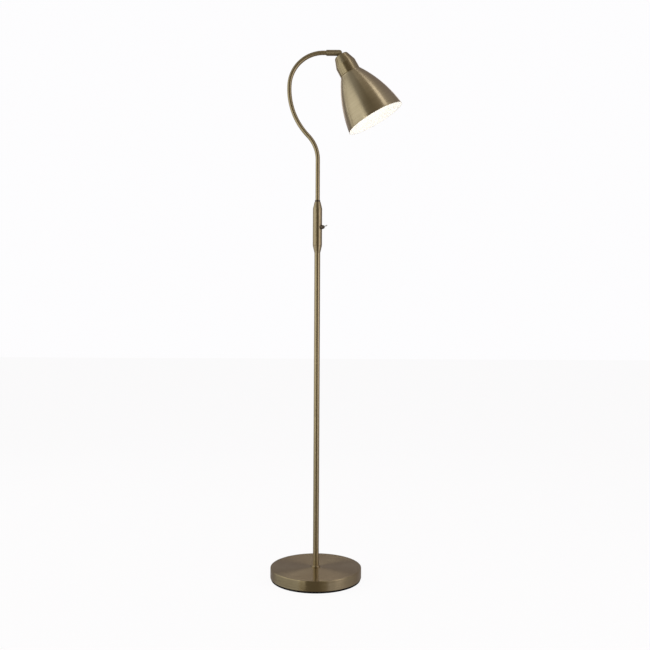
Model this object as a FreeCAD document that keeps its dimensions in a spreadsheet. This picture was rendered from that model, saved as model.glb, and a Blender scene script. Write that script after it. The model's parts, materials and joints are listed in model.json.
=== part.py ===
import FreeCAD, Part
import math
import os
import re

import Sketcher

# Pharmacy floor lamp, in millimetres. +Z is up, the origin is the centre of the foot where it
# meets the floor, and the arm reaches towards +X. The mains lead leaves the foot towards +Y.

DIMENSIONS = (
    ("base_radius", 125.0, "outer radius of the foot"),
    ("base_height", 33.0, "floor to the top of the foot"),
    ("base_edge", 2.0, "rounding of the foot's top edge"),
    ("base_skin", 1.2, "sheet thickness of the foot's cover"),
    ("pad_height", 5.5, "thickness of the foam pad"),
    ("pad_inset", 2.0, "pad's edge inside the cover's edge"),
    ("plate_height", 1.0, "thickness of the closing plate"),
    ("weight_height", 12.0, "thickness of the cast weight"),
    ("weight_radius", 121.0, "radius of the cast weight"),
    ("weight_bevel", 1.5, "bevel of the cast weight"),
    ("inlet_height", 12.1, "height of the lead's inlet"),
    ("inlet_bore", 3.25, "radius of the inlet bush's bore"),
    ("stud_radius", 5.0, "outer radius of the threaded tube"),
    ("stud_bore", 3.5, "bore radius of the threaded tube"),
    ("thread_play", 0.1, "play round a threaded tube"),
    ("thread_touch", 0.02, "gap that stands in for a thread"),
    ("collar_radius", 12.0, "radius of the collar at the pole's foot"),
    ("collar_height", 3.5, "height of the collar at the pole's foot"),
    ("collar_seat", 1.5, "height above the foot where the pole stands"),
    ("washer_height", 1.5, "thickness of the clamping washer"),
    ("nut_height", 5.0, "thickness of the clamping nut"),
    ("pole_radius", 8.0, "outer radius of the pole"),
    ("pole_bore", 7.0, "inner radius of the pole"),
    ("spigot_play", 0.02, "play of a spigot in the pole"),
    ("spigot_length", 18.0, "length of each spigot"),
    ("wire_bore", 4.5, "radius of the lead's way through the joiners"),
    ("joiner_low", 448.0, "bottom of the band between the pole's sections"),
    ("joiner_high", 465.0, "top of the band between the pole's sections"),
    ("sleeve_radius", 12.7, "outer radius of the switch sleeve"),
    ("sleeve_bore", 11.5, "inner radius of the switch sleeve"),
    ("sleeve_low", 898.0, "bottom of the lower cone"),
    ("sleeve_seam", 918.0, "seam of the lower cone and the sleeve"),
    ("sleeve_shoulder", 1020.0, "where the sleeve starts to narrow"),
    ("sleeve_top", 1038.0, "top of the sleeve"),
    ("mouth_radius", 8.5, "outer radius of the sleeve's top"),
    ("mouth_height", 6.5, "depth of the sleeve's solid top"),
    ("bush_radius", 6.82, "outer radius of the swivel bush"),
    ("bush_flange", 7.9, "radius of the swivel bush's flange"),
    ("swivel_play", 0.06, "running play of a turned joint"),
    ("switch_height", 968.0, "height of the switch"),
    ("switch_azimuth", 35.0, "the switch's turn from +X towards -Y"),
    ("case_height", 20.0, "height of the switch's case"),
    ("case_width", 12.4, "width of the switch's case"),
    ("case_back", 8.0, "back of the switch's case behind the sleeve's axis"),
    ("case_depth", 16.4, "depth of the switch's case"),
    ("bushing_radius", 3.5, "outer radius of the switch's bushing"),
    ("bushing_bore", 2.75, "inner radius of the switch's bushing"),
    ("switch_pivot", 17.0, "lever's pivot from the sleeve's axis"),
    ("switch_reach", 33.0, "lever's tip from the sleeve's axis"),
    ("lever_angle", 14.0, "lever's tilt above level"),
    ("lever_ball", 2.3, "radius of the lever's ball"),
    ("lever_tip", 1.7, "radius of the lever's round tip"),
    ("lever_stem", 1.0, "radius of the lever's stem"),
    ("dome_radius", 6.3, "radius of the switch's domed nut"),
    ("dome_reach", 21.8, "end of the domed nut from the sleeve's axis"),
    ("dome_end", 4.1, "radius of the domed nut's end"),
    ("peg_radius", 0.65, "radius of the turning stop's pegs"),
    ("peg_circle", 7.9, "distance of the turning stop's pegs from the axis"),
    ("arm_radius", 6.0, "outer radius of the arm tube"),
    ("arm_bore", 5.0, "inner radius of the arm tube"),
    ("arm_foot", 1014.0, "lower end of the arm tube"),
    ("first_bend", 94.1, "radius of the arm's first bend"),
    ("first_turn", 43.0, "angle of the arm's first bend"),
    ("first_run", 6.2, "straight between the first two bends"),
    ("second_bend", 185.8, "radius of the arm's second bend"),
    ("second_turn", 46.5, "angle of the arm's second bend"),
    ("third_bend", 93.8, "radius of the arm's last bend"),
    ("knuckle_height", 1449.8, "height of the knuckle's axis"),
    ("barrel_radius", 8.0, "outer radius of the knuckle"),
    ("barrel_start", 22.0, "start of the knuckle along the arm's end"),
    ("arm_end", 36.8, "end of the arm tube inside the knuckle"),
    ("web_start", 37.0, "start of the knuckle's inner web"),
    ("web_end", 41.0, "end of the knuckle's inner web"),
    ("nose_radius", 4.0, "radius of the arm plug's nose"),
    ("wire_hole", 2.6, "radius of the lead's way through the knuckle"),
    ("slot_start", 48.5, "root of the knuckle's slot"),
    ("slot_half", 3.1, "half the slot's width"),
    ("pivot_x", 58.0, "tilt axis from the pole's axis"),
    ("screw_radius", 2.5, "radius of the tilt screw"),
    ("screw_seat", 6.0, "seat of the tilt screw's head from the middle"),
    ("screw_head", 4.2, "radius of the tilt screw's head"),
    ("tongue_half", 2.5, "half the tongue's thickness"),
    ("eye_radius", 6.5, "radius of the tongue's eye"),
    ("stem_half", 6.0, "half the tongue's width"),
    ("head_tilt", 29.15, "head's axis from straight down"),
    ("neck_top", 9.0, "neck's top from the pivot"),
    ("neck_skin", 0.8, "sheet thickness of the neck and shade"),
    ("neck_crown", 18.2, "radius of the neck's flat top"),
    ("neck_brow", 19.9, "radius where the neck's cone starts"),
    ("neck_corner", 35.5, "end of the neck's cone from the pivot"),
    ("neck_waist", 28.9, "neck's radius at the end of its cone"),
    ("neck_radius", 29.4, "neck's radius at the seam"),
    ("seam", 64.0, "seam of the neck and the shade from the pivot"),
    ("shade_top", 30.7, "shade's radius at its shoulder"),
    ("shade_bow", 341.0, "radius of the shade's curved side"),
    ("rim_radius", 82.3, "shade's radius at the rim"),
    ("rim", 206.4, "rim from the pivot"),
    ("holder_radius", 19.7, "radius of the lampholder's thread"),
    ("holder_flange", 23.5, "radius of the lampholder's flange"),
    ("holder_end", 72.0, "lampholder's mouth from the pivot"),
    ("holder_floor", 38.0, "lampholder's inner floor from the pivot"),
    ("holder_bore", 15.2, "lampholder's inner radius"),
    ("cap_radius", 13.1, "radius of the bulb's screw cap"),
    ("globe_radius", 30.0, "radius of the bulb's globe"),
    ("globe_centre", 120.0, "centre of the bulb's globe from the pivot"),
    ("globe_spread", 50.0, "half angle where the globe meets the bulb's neck"),
    ("flare_bend", 45.0, "radius of the bulb's flare"),
    ("glass", 0.8, "thickness of the bulb's glass"),
)
ALIASES = {alias for alias, size, meaning in DIMENSIONS}
WORD = re.compile(r"[a-z]+(?:_[a-z]+)*")

# Frames of the assemblies that don't stand upright. Each one's +Z runs along its own axis:
# out of the sleeve, out of the foot's back, along the arm's end, along the tilt screw, and
# from the tilt axis to the shade's rim.
SWITCH = "placement(vector(0; 0; switch_height); rotation(-switch_azimuth; 90; 0))"
LEVER = (
    "placement("
    "vector(switch_pivot * cos(switch_azimuth); -switch_pivot * sin(switch_azimuth); switch_height);"
    " rotation(-switch_azimuth; 90 - lever_angle; 0))"
)
INLET = "placement(vector(0; 0; inlet_height); rotation(vector(1; 0; 0); -90))"
KNUCKLE = "placement(vector(0; 0; knuckle_height); rotation(vector(0; 1; 0); 90))"
TILT = "placement(vector(pivot_x; 0; knuckle_height); rotation(vector(1; 0; 0); -90))"
HEAD = "placement(vector(pivot_x; 0; knuckle_height); rotation(vector(0; 1; 0); 180 - head_tilt))"

doc = FreeCAD.newDocument("pharmacy_floor_lamp")
sheet = doc.addObject("Spreadsheet::Sheet", "Dims")
for row, (alias, size, meaning) in enumerate(DIMENSIONS, start=1):
    sheet.set(f"A{row}", alias)
    sheet.set(f"B{row}", str(size))
    sheet.set(f"C{row}", meaning)
    sheet.setAlias(f"B{row}", alias)
doc.recompute()
nodes = []


# ---------------------------------------------------------------- helpers

def bound(expression):
    """Return the expression with each dimension pointed at its cell."""
    return WORD.sub(lambda word: ("Dims." if word.group() in ALIASES else "") + word.group(), expression)


def value(expression):
    """Return the expression's number now."""
    return float(sheet.evalExpression(bound(expression)))


def shifted(x="0", y="0", z="0", turn="rotation(vector(0; 0; 1); 0)"):
    """Return the text of a placement at x, y, z."""
    return f"placement(vector({x}; {y}; {z}); {turn})"


def solid(kind, name, place=None, **sizes):
    """Make a Part primitive whose sizes follow the sheet."""
    item = doc.addObject(f"Part::{kind}", name)
    for size, expression in sizes.items():
        item.setExpression(size, bound(expression))
    if place:
        item.setExpression("Placement", bound(place))
    return item


def fused(name, *shapes):
    """Join the shapes into one."""
    item = doc.addObject("Part::MultiFuse", name)
    item.Shapes = list(shapes)
    return item


def cut(name, base, tool, place=None):
    """Take the tool away from the base."""
    item = doc.addObject("Part::Cut", name)
    item.Base = base
    item.Tool = tool
    if place:
        item.setExpression("Placement", bound(place))
    return item


def group(name, *shapes, place=None):
    """Keep separate solids together in one object."""
    item = doc.addObject("Part::Compound", name)
    item.Links = list(shapes)
    if place:
        item.setExpression("Placement", bound(place))
    return item


def node(item):
    """Count a finished object as a sub-part, labelled with its own name."""
    item.Label = item.Name
    nodes.append(item)
    return item


def new_body(name, place=None):
    """Make an empty PartDesign body in its frame."""
    body = doc.addObject("PartDesign::Body", name)
    if place:
        body.setExpression("Placement", bound(place))
    return body


def new_sketch(body, name, plane, lift="0"):
    """Attach a sketch to one of the body's own planes, lifted along its normal."""
    sketch = body.newObject("Sketcher::SketchObject", name)
    support = next(item for item in body.Origin.OriginFeatures if item.Role == plane)
    sketch.AttachmentSupport = [(support, "")]
    sketch.MapMode = "FlatFace"
    sketch.setExpression(".AttachmentOffset.Base.z", bound(lift))
    return sketch


def pin(sketch, kind, geometry, point, expression):
    """Hold one coordinate of a point to the sheet."""
    index = sketch.addConstraint(Sketcher.Constraint(kind, geometry, point, value(expression)))
    sketch.setExpression(f"Constraints[{index}]", bound(expression))


def pin_radius(sketch, geometry, expression):
    """Hold the radius of a circle or an arc to the sheet."""
    index = sketch.addConstraint(Sketcher.Constraint("Radius", geometry, value(expression)))
    sketch.setExpression(f"Constraints[{index}]", bound(expression))


def arc_between(start, end, radius):
    """Return the short arc from start to end, counter-clockwise for a positive radius."""
    chord = end - start
    left = FreeCAD.Vector(-chord.y, chord.x, 0).normalize()
    rise = math.sqrt(radius**2 - chord.Length**2 / 4)
    centre = (start + end) / 2 + left * math.copysign(rise, radius)
    first, last = (start, end) if radius > 0 else (end, start)
    angles = [math.atan2(point.y - centre.y, point.x - centre.x) for point in (first, last)]
    return Part.ArcOfCircle(Part.Circle(centre, FreeCAD.Vector(0, 0, 1), abs(radius)), *angles)


def draw(sketch, corners, closed=True):
    """Draw edges through corners (x, y), each held to the sheet.

    A corner (x, y, turn, radius) is reached by an arc, where turn is "ccw" or "cw".
    """
    points = [FreeCAD.Vector(value(corner[0]), value(corner[1]), 0) for corner in corners]
    count = len(corners) if closed else len(corners) - 1
    ends = []
    for index in range(count):
        after = (index + 1) % len(corners)
        turn, radius = corners[after][2:] if len(corners[after]) > 2 else ("straight", None)
        if turn == "straight":
            edge = sketch.addGeometry(Part.LineSegment(points[index], points[after]), False)
        else:
            signed = value(radius) if turn == "ccw" else -value(radius)
            edge = sketch.addGeometry(arc_between(points[index], points[after], signed), False)
            pin_radius(sketch, edge, radius)
        ends.append((edge, 2, 1) if turn == "cw" else (edge, 1, 2))
    for index, (edge, start, end) in enumerate(ends):
        pin(sketch, "DistanceX", edge, start, corners[index][0])
        pin(sketch, "DistanceY", edge, start, corners[index][1])
        following = ends[(index + 1) % count]
        if closed or index < count - 1:
            sketch.addConstraint(Sketcher.Constraint("Coincident", edge, end, following[0], following[1]))
    if not closed:
        pin(sketch, "DistanceX", ends[-1][0], ends[-1][2], corners[-1][0])
        pin(sketch, "DistanceY", ends[-1][0], ends[-1][2], corners[-1][1])


def draw_circle(sketch, radius, x="0", y="0"):
    """Draw a circle held to the sheet."""
    centre = FreeCAD.Vector(value(x), value(y), 0)
    edge = sketch.addGeometry(Part.Circle(centre, FreeCAD.Vector(0, 0, 1), value(radius)), False)
    pin(sketch, "DistanceX", edge, 3, x)
    pin(sketch, "DistanceY", edge, 3, y)
    pin_radius(sketch, edge, radius)


def turned(name, corners, place=None):
    """Make a turned piece from its half outline of (radius, height) corners."""
    body = new_body(name, place)
    sketch = new_sketch(body, f"{name}_outline", "XZ_Plane")
    draw(sketch, corners)
    turn = body.newObject("PartDesign::Revolution", f"{name}_turn")
    turn.Profile = sketch
    turn.ReferenceAxis = (sketch, ["V_Axis"])
    turn.Angle = 360
    return body


def tube(name, inner, outer, low, high, place=None):
    """Make a plain tube or ring."""
    return turned(name, ((inner, low), (outer, low), (outer, high), (inner, high)), place)


def hex_ring(name, flats, bore, low, height, place=None):
    """Make a hexagonal nut with a plain bore."""
    blank = solid(
        "Prism", f"{name}_blank", shifted(z=low), Circumradius=f"{flats} / 2 / cos(30)", Height=height
    )
    hole = solid("Cylinder", f"{name}_hole", shifted(z=low), Radius=bore, Height=height)
    return cut(name, blank, hole, place)


# ---------------------------------------------------------------- foot

def base_cover():
    top = "base_height"
    under = "base_height - base_skin"
    wall = "base_radius - base_skin"
    shell = turned("base_cover_shell", (
        ("stud_radius + thread_play", top),
        ("stud_radius + thread_play", under),
        (f"{wall} - base_skin", under),
        (wall, f"{under} - base_skin", "cw", "base_skin"),
        (wall, "pad_height"),
        ("base_radius", "pad_height"),
        ("base_radius", f"{top} - base_edge"),
        ("base_radius - base_edge", top, "ccw", "base_edge"),
    ))
    hole = solid("Cylinder", "base_cover_inlet", INLET, Radius="inlet_bore + 1.75", Height="base_radius + 5")
    return cut("base_cover", shell, hole)


def base_weight():
    low = "base_height - base_skin - weight_height"
    high = "base_height - base_skin"
    return turned("base_weight", (
        ("stud_radius + 0.2", low),
        ("weight_radius - weight_bevel", low),
        ("weight_radius", f"{low} + weight_bevel"),
        ("weight_radius", f"{high} - weight_bevel"),
        ("weight_radius - weight_bevel", high),
        ("stud_radius + 0.2", high),
    ))


def base_plate():
    return turned("base_plate", (
        ("0", "pad_height"),
        ("base_radius - base_skin - 0.3", "pad_height"),
        ("base_radius - base_skin - 0.3", "pad_height + plate_height"),
        ("0", "pad_height + plate_height"),
    ))


def base_pad():
    edge = "base_radius - pad_inset"
    return turned("base_pad", (
        ("0", "0"),
        (f"{edge} - 0.8", "0"),
        (edge, "0.8"),
        (edge, "pad_height"),
        ("0", "pad_height"),
    ))


def cable_bush():
    """The lead's bush, clipped into the cover's back wall."""
    inside = "base_radius - base_skin - 0.2"
    outside = "base_radius + 0.05"
    return turned("cable_bush", (
        ("inlet_bore", f"{inside} - 2.1"),
        ("inlet_bore + 1.6", f"{inside} - 2.1"),
        ("inlet_bore + 2.15", f"{inside} - 1.4"),
        ("inlet_bore + 2.15", inside),
        ("inlet_bore + 1.65", inside),
        ("inlet_bore + 1.65", outside),
        ("inlet_bore + 3.1", outside),
        ("inlet_bore + 3.1", f"{outside} + 1.2"),
        ("inlet_bore + 2.1", f"{outside} + 2.2", "ccw", "1"),
        ("inlet_bore + 0.6", f"{outside} + 2.2"),
        ("inlet_bore", f"{outside} + 1.6", "ccw", "0.6"),
    ), INLET)


def pole_collar():
    seat = "base_height + collar_seat"
    top = "base_height + collar_height"
    return turned("pole_collar", (
        ("stud_radius + thread_play", "base_height"),
        ("collar_radius", "base_height"),
        ("collar_radius", f"{top} - 1.2"),
        ("collar_radius - 1.2", top, "ccw", "1.2"),
        ("pole_radius + 0.05", top),
        ("pole_radius + 0.05", seat),
        ("stud_radius + thread_play", seat),
    ))


def foot_fasteners():
    """The threaded tube that clamps cover, weight and pole, with its washer and nut."""
    washer_low = "base_height - base_skin - weight_height - washer_height"
    nut_low = f"{washer_low} - nut_height"
    stud = tube("base_stud", "stud_bore", "stud_radius", f"{nut_low} - 1", "base_height + 20")
    washer_high = f"{washer_low} + washer_height"
    washer = tube("base_washer", "stud_radius + 0.2", "collar_radius + 1", washer_low, washer_high)
    nut = hex_ring("base_nut", "15", "stud_radius + thread_touch", nut_low, "nut_height")
    return stud, washer, nut


# ---------------------------------------------------------------- pole

def pole_foot():
    """The threaded plug fixed in the pole's lower end."""
    seat = "base_height + collar_seat"
    bore = "stud_radius + thread_touch"
    return tube("pole_foot", bore, "pole_bore - spigot_play", seat, f"{seat} + spigot_length")


def pole_joiner():
    """The band between the two sections, with a spigot up and down."""
    spigot = "pole_bore - spigot_play"
    return turned("pole_joiner", (
        ("wire_bore", "joiner_low - spigot_length"),
        (f"{spigot} - 0.5", "joiner_low - spigot_length"),
        (spigot, "joiner_low - spigot_length + 0.5"),
        (spigot, "joiner_low"),
        ("pole_radius - 0.3", "joiner_low"),
        ("pole_radius", "joiner_low + 0.3"),
        ("pole_radius", "joiner_high - 0.3"),
        ("pole_radius - 0.3", "joiner_high"),
        (spigot, "joiner_high"),
        (spigot, "joiner_high + spigot_length - 0.5"),
        (f"{spigot} - 0.5", "joiner_high + spigot_length"),
        ("wire_bore", "joiner_high + spigot_length"),
    ))


def sleeve_cone():
    """The lower cone: it plugs into the pole below and into the sleeve above."""
    return turned("sleeve_cone", (
        ("wire_bore", "sleeve_low - spigot_length"),
        ("pole_bore - spigot_play", "sleeve_low - spigot_length"),
        ("pole_bore - spigot_play", "sleeve_low"),
        ("pole_radius", "sleeve_low"),
        ("sleeve_radius", "sleeve_seam"),
        ("sleeve_bore - spigot_play", "sleeve_seam"),
        ("sleeve_bore - spigot_play", "sleeve_seam + 8"),
        ("wire_bore", "sleeve_seam + 8"),
    ))


def switch_sleeve():
    """The sleeve round the switch, drawn in to a solid mouth that holds the swivel's bush."""
    slope = "(sleeve_radius - mouth_radius) / (sleeve_top - sleeve_shoulder)"
    inner_mouth = f"mouth_radius + mouth_height * {slope} - 1.23"
    shell = turned("switch_sleeve_shell", (
        ("sleeve_bore", "sleeve_seam"),
        ("sleeve_radius", "sleeve_seam"),
        ("sleeve_radius", "sleeve_shoulder"),
        ("mouth_radius", "sleeve_top"),
        ("bush_radius + 0.03", "sleeve_top"),
        ("bush_radius + 0.03", "sleeve_top - mouth_height"),
        (inner_mouth, "sleeve_top - mouth_height"),
        ("sleeve_bore", "sleeve_shoulder - 0.3"),
    ))
    hole = solid("Cylinder", "switch_sleeve_hole", SWITCH, Radius="3.6", Height="sleeve_radius + 5")
    return cut("switch_sleeve", shell, hole)


# ---------------------------------------------------------------- switch

def switch_body():
    """The switch's case, across the sleeve."""
    case = solid(
        "Box", "switch_case", shifted("-case_height / 2", "-case_width / 2", "-case_back"),
        Length="case_height", Width="case_width", Height="case_depth",
    )
    mouth = solid("Cylinder", "switch_case_mouth", shifted(z="4"), Radius="bushing_bore - 0.05", Height="10")
    return cut("switch_body", case, mouth, SWITCH)


def switch_terminals():
    """The three solder tabs on the case's back."""
    tabs = [
        solid(
            "Box", f"switch_tab_{index}", shifted(f"{height} - 0.4", "-1.2", "-case_back - 2.5"),
            Length="0.8", Width="2.4", Height="2.5",
        )
        for index, height in enumerate(("-6", "0", "6"))
    ]
    return group("switch_terminals", *tabs, place=SWITCH)


def switch_bushing():
    low = "case_depth - case_back"
    return tube("switch_bushing", "bushing_bore", "bushing_radius", low, "dome_reach - 0.4", SWITCH)


def switch_nut():
    """The domed nut, hollowed at its back to sit on the round sleeve."""
    bore = "bushing_radius + thread_touch"
    blank = turned("switch_nut_blank", (
        (bore, "sleeve_radius - 2.2"),
        ("dome_radius", "sleeve_radius - 2.2"),
        ("dome_radius", "sleeve_radius + 1"),
        ("dome_end", "dome_reach", "ccw", "11"),
        (bore, "dome_reach"),
    ), SWITCH)
    sleeve = solid(
        "Cylinder", "switch_nut_seat", shifted(z="switch_height - 20"),
        Radius="sleeve_radius + thread_touch", Height="40",
    )
    return cut("switch_nut", blank, sleeve)


def toggle_lever():
    """The bat lever, on a ball at its pivot."""
    reach = "(switch_reach - switch_pivot)"
    return turned("toggle_lever", (
        ("0", "0 - lever_ball"),
        ("lever_ball", "0", "ccw", "lever_ball"),
        ("lever_stem", "sqrt(lever_ball^2 - lever_stem^2)", "ccw", "lever_ball"),
        ("lever_stem", "5"),
        ("lever_tip", f"{reach} - lever_tip"),
        ("0", reach, "ccw", "lever_tip"),
    ), LEVER)


# ---------------------------------------------------------------- arm and its swivel

def swivel_bush():
    return turned("swivel_bush", (
        ("arm_radius + swivel_play", "sleeve_top - 12"),
        ("bush_radius", "sleeve_top - 12"),
        ("bush_radius", "sleeve_top"),
        ("bush_flange", "sleeve_top"),
        ("bush_flange", "sleeve_top + 1"),
        ("arm_radius + swivel_play", "sleeve_top + 1"),
    ))


def swivel_nut():
    """The nut that holds the swivel bush, with the fixed half of the arm's turning stop."""
    low = "sleeve_top - 10"
    nut = hex_ring("swivel_nut_ring", "14.9", "bush_radius + thread_touch", low, "3.4")
    place = shifted("-peg_circle", "0", f"{low} - 1.8")
    peg = solid("Cylinder", "swivel_nut_peg", place, Radius="peg_radius", Height="3")
    return fused("swivel_nut", nut, peg)


def arm_stop():
    """The ring fixed on the arm's foot, with the turning half of the stop."""
    high = "sleeve_top - 13"
    ring = tube("arm_stop_ring", "arm_radius", "9", f"{high} - 4.8", high)
    place = shifted("peg_circle", "0", f"{high} - 2")
    peg = solid("Cylinder", "arm_stop_peg", place, Radius="peg_radius", Height="4.4")
    return fused("arm_stop", ring, peg)


def arm_fittings():
    """The nylon washer under the bush and the shoulder that carries the arm."""
    washer = tube("swivel_washer", "arm_radius + 0.05", "7", "sleeve_top - 12.9", "sleeve_top - 12.15")
    shoulder = turned("arm_shoulder", (
        ("arm_radius", "sleeve_top + 1.1"),
        ("7.3", "sleeve_top + 1.1"),
        ("7.3", "sleeve_top + 4.6"),
        ("6.5", "sleeve_top + 5.4", "ccw", "0.8"),
        ("arm_radius", "sleeve_top + 5.4"),
    ))
    return washer, shoulder


def arm_route():
    """Return the arm's centre line: up, out to the back, round and level to the knuckle."""
    lean = "(second_turn - first_turn)"
    first_across = "first_bend * (1 - cos(first_turn))"
    first_up = "first_bend * sin(first_turn)"
    run_across = "first_run * sin(first_turn)"
    run_up = "first_run * cos(first_turn)"
    second_across = f"second_bend * (cos(first_turn) - cos({lean}))"
    second_up = f"second_bend * (sin({lean}) + sin(first_turn))"
    third_across = f"third_bend * cos({lean})"
    third_up = f"third_bend * (1 - sin({lean}))"
    start = f"knuckle_height - {first_up} - {run_up} - {second_up} - {third_up}"
    run_end = f"0 - {first_across} - {run_across}"
    return (
        ("0", "arm_foot"),
        ("0", start),
        (f"0 - {first_across}", f"{start} + {first_up}", "ccw", "first_bend"),
        (run_end, f"{start} + {first_up} + {run_up}"),
        (f"{run_end} + {second_across}", f"knuckle_height - {third_up}", "cw", "second_bend"),
        (f"{run_end} + {second_across} + {third_across}", "knuckle_height", "cw", "third_bend"),
        ("arm_end", "knuckle_height"),
    )


def arm_tube():
    body = new_body("arm_tube")
    route = new_sketch(body, "arm_route", "XZ_Plane")
    draw(route, arm_route(), closed=False)
    section = new_sketch(body, "arm_section", "XY_Plane", "arm_foot")
    draw_circle(section, "arm_radius")
    draw_circle(section, "arm_bore")
    pipe = body.newObject("PartDesign::AdditivePipe", "arm_pipe")
    pipe.Profile = section
    pipe.Spine = route
    return body


# ---------------------------------------------------------------- knuckle

def arm_plug():
    """The plug fixed in the arm's end. The knuckle turns on the arm and on the plug's nose."""
    return turned("arm_plug", (
        ("wire_hole", "arm_end - 13"),
        ("arm_bore - spigot_play", "arm_end - 13"),
        ("arm_bore - spigot_play", "arm_end"),
        ("nose_radius", "arm_end"),
        ("nose_radius", "web_end + 0.3"),
        ("nose_radius - 0.6", "web_end + 0.3"),
        ("nose_radius - 0.6", "web_end + 1.2"),
        ("nose_radius", "web_end + 1.2"),
        ("nose_radius", "web_end + 2.6"),
        ("wire_hole", "web_end + 2.6"),
    ), KNUCKLE)


def knuckle_clip():
    """The spring clip in the plug's groove, which keeps the knuckle on the arm."""
    ring = tube("knuckle_clip_ring", "nose_radius - 0.58", "5.5", "web_end + 0.35", "web_end + 1.15")
    place = shifted("0", "-1.4", "web_end")
    gap = solid("Box", "knuckle_clip_gap", place, Length="8", Width="2.8", Height="3")
    return cut("knuckle_clip", ring, gap, KNUCKLE)


def knuckle_barrel():
    """The knuckle: bored for the arm's end, domed and slotted for the tongue."""
    blank = turned("knuckle_blank", (
        ("arm_radius + swivel_play", "barrel_start"),
        ("barrel_radius - 1.2", "barrel_start"),
        ("barrel_radius", "barrel_start + 1.2"),
        ("barrel_radius", "pivot_x"),
        ("0", "pivot_x + barrel_radius", "ccw", "barrel_radius"),
        ("0", "slot_start"),
        ("6", "slot_start"),
        ("6", "web_end"),
        ("nose_radius + swivel_play", "web_end"),
        ("nose_radius + swivel_play", "web_start"),
        ("arm_radius + swivel_play", "web_start"),
    ))
    slot = solid(
        "Box", "knuckle_slot", shifted("-10", "-slot_half", "slot_start"),
        Length="20", Width="2 * slot_half", Height="20",
    )
    across = "rotation(vector(1; 0; 0); -90)"
    hole = solid(
        "Cylinder", "knuckle_screw_hole", shifted("0", "-5.5", "pivot_x", across),
        Radius="screw_radius + thread_touch", Height="15",
    )
    seat = solid(
        "Cylinder", "knuckle_screw_seat", shifted("0", "screw_seat", "pivot_x", across),
        Radius="screw_head + 0.4", Height="5",
    )
    return cut("knuckle_barrel", blank, fused("knuckle_cuts", slot, hole, seat), KNUCKLE)


def tilt_screw():
    """The slotted screw that the head tilts on, put in from the back."""
    blank = turned("tilt_screw_blank", (
        ("0", "-5.4"),
        ("screw_radius", "-5.4"),
        ("screw_radius", "screw_seat"),
        ("screw_head", "screw_seat"),
        ("screw_head", "screw_seat + 1.2"),
        ("screw_head - 1", "screw_seat + 2.2", "ccw", "1"),
        ("0", "screw_seat + 2.2"),
    ))
    place = shifted("-5", "-0.5", "screw_seat + 1.2")
    slot = solid("Box", "tilt_screw_slot", place, Length="10", Width="1", Height="2")
    return cut("tilt_screw", blank, slot, TILT)


def tilt_washers():
    """The two friction washers beside the tongue."""
    near, far = "tongue_half + 0.05", "tongue_half + 0.55"
    back = tube("tilt_washer_back", "screw_radius + 0.1", "6", near, far)
    front = tube("tilt_washer_front", "screw_radius + 0.1", "6", f"-({far})", f"-({near})")
    return group("tilt_washers", back, front, place=TILT)


# ---------------------------------------------------------------- head

def tongue():
    """The flat tongue that tilts in the slot, with the threaded nipple that carries the head."""
    across = "rotation(vector(1; 0; 0); -90)"
    eye = solid(
        "Cylinder", "tongue_eye", shifted("0", "-tongue_half", "0", across),
        Radius="eye_radius", Height="2 * tongue_half",
    )
    stem = solid(
        "Box", "tongue_stem", shifted("-stem_half", "-tongue_half", "0"),
        Length="2 * stem_half", Width="2 * tongue_half", Height="neck_top",
    )
    nipple = solid("Cylinder", "tongue_nipple", shifted(z="neck_top"), Radius="stud_radius", Height="15")
    blank = fused("tongue_blank", eye, stem, nipple)
    eye_hole = solid(
        "Cylinder", "tongue_eye_hole", shifted("0", "-10", "0", across),
        Radius="screw_radius + 0.05", Height="20",
    )
    bore = solid("Cylinder", "tongue_wire_hole", shifted(z="5.5"), Radius="wire_hole", Height="25")
    return cut("tongue", blank, fused("tongue_holes", eye_hole, bore), HEAD)


def neck_cap():
    """The brass cover of the lampholder."""
    return turned("neck_cap", (
        ("stud_radius + thread_play", "neck_top"),
        ("stud_radius + thread_play", "neck_top + neck_skin"),
        ("neck_crown - 0.3", "neck_top + neck_skin"),
        ("neck_brow - 0.94 * neck_skin", "neck_top + 2.2", "ccw", "1.3"),
        ("neck_waist - 0.95 * neck_skin", "neck_corner + 0.25"),
        ("neck_radius - neck_skin", "seam"),
        ("neck_radius", "seam"),
        ("neck_waist", "neck_corner"),
        ("neck_brow", "neck_top + 1.8"),
        ("neck_crown", "neck_top", "cw", "2"),
    ), HEAD)


def lampholder():
    return turned("lampholder", (
        ("stud_radius + 0.05", "neck_top + 6"),
        ("9", "neck_top + 6"),
        ("9", "neck_top + 10"),
        ("holder_radius - 2", "neck_top + 18"),
        ("holder_radius", "neck_top + 21", "ccw", "6"),
        ("holder_radius", "seam - 4"),
        ("holder_flange", "seam - 4"),
        ("holder_flange", "seam"),
        ("holder_radius", "seam"),
        ("holder_radius", "holder_end"),
        ("holder_bore", "holder_end"),
        ("holder_bore", "holder_floor"),
        ("stud_radius + 0.05", "holder_floor"),
    ), HEAD)


def holder_metalwork():
    """The screw shell and the centre contact inside the lampholder."""
    low, high = "holder_floor + 6", "holder_end - 2"
    shell = tube("holder_shell", "cap_radius + 0.5", "cap_radius + 1.3", low, high, HEAD)
    contact = turned("holder_contact", (
        ("0", "holder_floor"),
        ("9", "holder_floor"),
        ("9", "holder_floor + 1"),
        ("3", "holder_floor + 1"),
        ("2.4", "holder_floor + 4.3"),
        ("0", "holder_floor + 4.3"),
    ), HEAD)
    return shell, contact


def shade_ring():
    """The ring that screws up the lampholder and clamps the shade."""
    low = "seam + neck_skin"
    return turned("shade_ring", (
        ("holder_radius + 0.05", low),
        ("holder_radius + 5.5", low),
        ("holder_radius + 5.5", f"{low} + 2"),
        ("holder_radius + 2.5", f"{low} + 3"),
        ("holder_radius + 2.5", f"{low} + 6"),
        ("holder_radius + 0.05", f"{low} + 6"),
    ), HEAD)


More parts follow.
